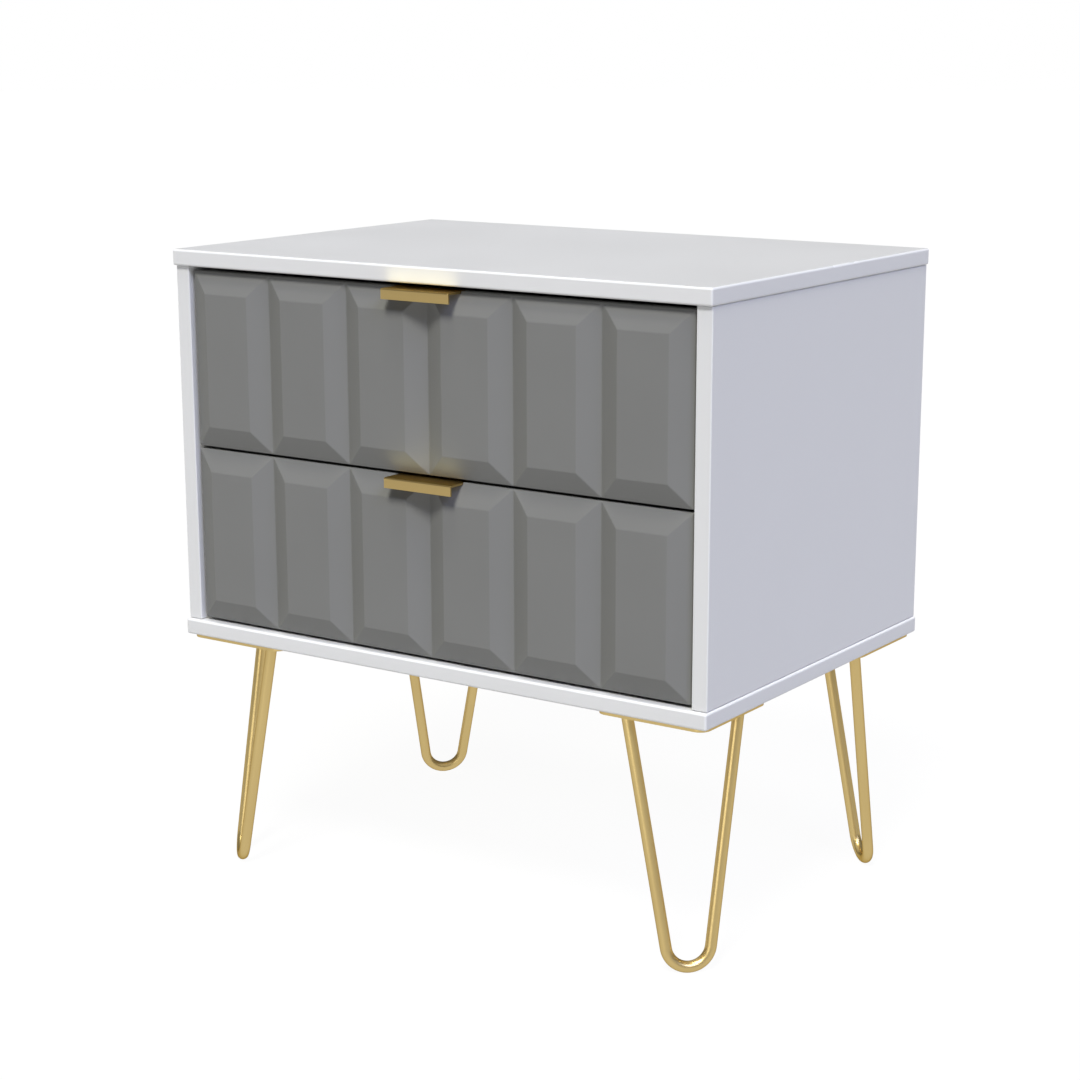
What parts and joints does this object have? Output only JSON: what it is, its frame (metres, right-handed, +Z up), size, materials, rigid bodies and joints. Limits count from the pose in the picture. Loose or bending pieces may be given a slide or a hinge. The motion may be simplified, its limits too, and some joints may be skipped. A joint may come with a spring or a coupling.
{
  "type": "nightstand with drawers",
  "caption": "Low white nightstand with grey raised-panel drawers on roller runners, folded gold edge pulls and bent-rod hairpin legs.",
  "frame": {"origin": "middle of the bounding box at floor level; the boards are centred 5.5 mm behind it because the pulls stand out in front", "axes": "+Z up; the drawers open towards -Y; +X is the right-hand side seen from the front"},
  "size_m": [0.575, 0.406, 0.5961],
  "materials": {
    "white_board": "satin white foil on particle board",
    "white_hardboard": "painted hardboard",
    "grey_front": "matt grey foil wrapped over routed fibreboard",
    "drawer_box": "matt white foil on board",
    "gold_pull": "satin gold",
    "gold_leg": "satin gold",
    "runner_steel": "white epoxy coat",
    "nylon_wheel": "plain nylon",
    "zinc_screw": "zinc plated"
  },
  "bodies": {
    "carcass": {"top_panel": "white_board", "base_panel": "white_board", "side_panel_left": "white_board", "side_panel_right": "white_board", "back_panel": "white_hardboard", "cabinet_runner_lower_left": "runner_steel", "cabinet_runner_lower_right": "runner_steel", "cabinet_runner_upper_left": "runner_steel", "cabinet_runner_upper_right": "runner_steel", "leg_plate_front_left": "gold_leg", "leg_plate_front_right": "gold_leg", "leg_plate_rear_left": "gold_leg", "leg_plate_rear_right": "gold_leg", "leg_rod_front_left": "gold_leg", "leg_rod_front_right": "gold_leg", "leg_rod_rear_left": "gold_leg", "leg_rod_rear_right": "gold_leg", "leg_screw_front_left_corner": "zinc_screw", "leg_screw_front_left_side": "zinc_screw", "leg_screw_front_left_end": "zinc_screw", "leg_screw_front_right_corner": "zinc_screw", "leg_screw_front_right_side": "zinc_screw", "leg_screw_front_right_end": "zinc_screw", "leg_screw_rear_left_corner": "zinc_screw", "leg_screw_rear_left_side": "zinc_screw", "leg_screw_rear_left_end": "zinc_screw", "leg_screw_rear_right_corner": "zinc_screw", "leg_screw_rear_right_side": "zinc_screw", "leg_screw_rear_right_end": "zinc_screw"},
    "lower_drawer": {"drawer_front_lower": "grey_front", "drawer_side_lower_left": "drawer_box", "drawer_side_lower_right": "drawer_box", "drawer_back_lower": "drawer_box", "drawer_bottom_lower": "white_hardboard", "pull_lower": "gold_pull", "pull_screw_lower_left": "zinc_screw", "pull_screw_lower_right": "zinc_screw", "drawer_runner_lower_left": "runner_steel", "drawer_runner_lower_right": "runner_steel"},
    "upper_drawer": {"drawer_front_upper": "grey_front", "drawer_side_upper_left": "drawer_box", "drawer_side_upper_right": "drawer_box", "drawer_back_upper": "drawer_box", "drawer_bottom_upper": "white_hardboard", "pull_upper": "gold_pull", "pull_screw_upper_left": "zinc_screw", "pull_screw_upper_right": "zinc_screw", "drawer_runner_upper_left": "runner_steel", "drawer_runner_upper_right": "runner_steel"},
    "cabinet_wheel_lower_left": {"cabinet_wheel_lower_left": "nylon_wheel"},
    "cabinet_wheel_lower_right": {"cabinet_wheel_lower_right": "nylon_wheel"},
    "cabinet_wheel_upper_left": {"cabinet_wheel_upper_left": "nylon_wheel"},
    "cabinet_wheel_upper_right": {"cabinet_wheel_upper_right": "nylon_wheel"},
    "drawer_wheel_lower_left": {"drawer_wheel_lower_left": "nylon_wheel"},
    "drawer_wheel_lower_right": {"drawer_wheel_lower_right": "nylon_wheel"},
    "drawer_wheel_upper_left": {"drawer_wheel_upper_left": "nylon_wheel"},
    "drawer_wheel_upper_right": {"drawer_wheel_upper_right": "nylon_wheel"}
  },
  "joints": [
    {"name": "drawer_lower_slide", "type": "slide", "parent": "carcass", "child": "lower_drawer", "axis": [0, -1, 0], "range_m": [0, 0.26]},
    {"name": "drawer_upper_slide", "type": "slide", "parent": "carcass", "child": "upper_drawer", "axis": [0, -1, 0], "range_m": [0, 0.26]},
    {"name": "cabinet_wheel_lower_left_spin", "type": "hinge", "parent": "carcass", "child": "cabinet_wheel_lower_left", "pos_m": [-0.2661, -0.1609, 0.2632], "axis": [1, 0, 0], "continuous": true},
    {"name": "cabinet_wheel_lower_right_spin", "type": "hinge", "parent": "carcass", "child": "cabinet_wheel_lower_right", "pos_m": [0.2661, -0.1609, 0.2632], "axis": [1, 0, 0], "continuous": true},
    {"name": "cabinet_wheel_upper_left_spin", "type": "hinge", "parent": "carcass", "child": "cabinet_wheel_upper_left", "pos_m": [-0.2661, -0.1609, 0.4287], "axis": [1, 0, 0], "continuous": true},
    {"name": "cabinet_wheel_upper_right_spin", "type": "hinge", "parent": "carcass", "child": "cabinet_wheel_upper_right", "pos_m": [0.2661, -0.1609, 0.4287], "axis": [1, 0, 0], "continuous": true},
    {"name": "drawer_wheel_lower_left_spin", "type": "hinge", "parent": "lower_drawer", "child": "drawer_wheel_lower_left", "pos_m": [-0.2642, 0.1634, 0.2632], "axis": [1, 0, 0], "continuous": true},
    {"name": "drawer_wheel_lower_right_spin", "type": "hinge", "parent": "lower_drawer", "child": "drawer_wheel_lower_right", "pos_m": [0.2642, 0.1634, 0.2632], "axis": [1, 0, 0], "continuous": true},
    {"name": "drawer_wheel_upper_left_spin", "type": "hinge", "parent": "upper_drawer", "child": "drawer_wheel_upper_left", "pos_m": [-0.2642, 0.1634, 0.4287], "axis": [1, 0, 0], "continuous": true},
    {"name": "drawer_wheel_upper_right_spin", "type": "hinge", "parent": "upper_drawer", "child": "drawer_wheel_upper_right", "pos_m": [0.2642, 0.1634, 0.4287], "axis": [1, 0, 0], "continuous": true}
  ],
  "couplings": [
    {"joint": "cabinet_wheel_lower_left_spin", "follows": "drawer_lower_slide", "rad_per_m": 105.26},
    {"joint": "cabinet_wheel_lower_right_spin", "follows": "drawer_lower_slide", "rad_per_m": 105.26},
    {"joint": "drawer_wheel_lower_left_spin", "follows": "drawer_lower_slide", "rad_per_m": 105.26},
    {"joint": "drawer_wheel_lower_right_spin", "follows": "drawer_lower_slide", "rad_per_m": 105.26},
    {"joint": "cabinet_wheel_upper_left_spin", "follows": "drawer_upper_slide", "rad_per_m": 105.26},
    {"joint": "cabinet_wheel_upper_right_spin", "follows": "drawer_upper_slide", "rad_per_m": 105.26},
    {"joint": "drawer_wheel_upper_left_spin", "follows": "drawer_upper_slide", "rad_per_m": 105.26},
    {"joint": "drawer_wheel_upper_right_spin", "follows": "drawer_upper_slide", "rad_per_m": 105.26}
  ]
}
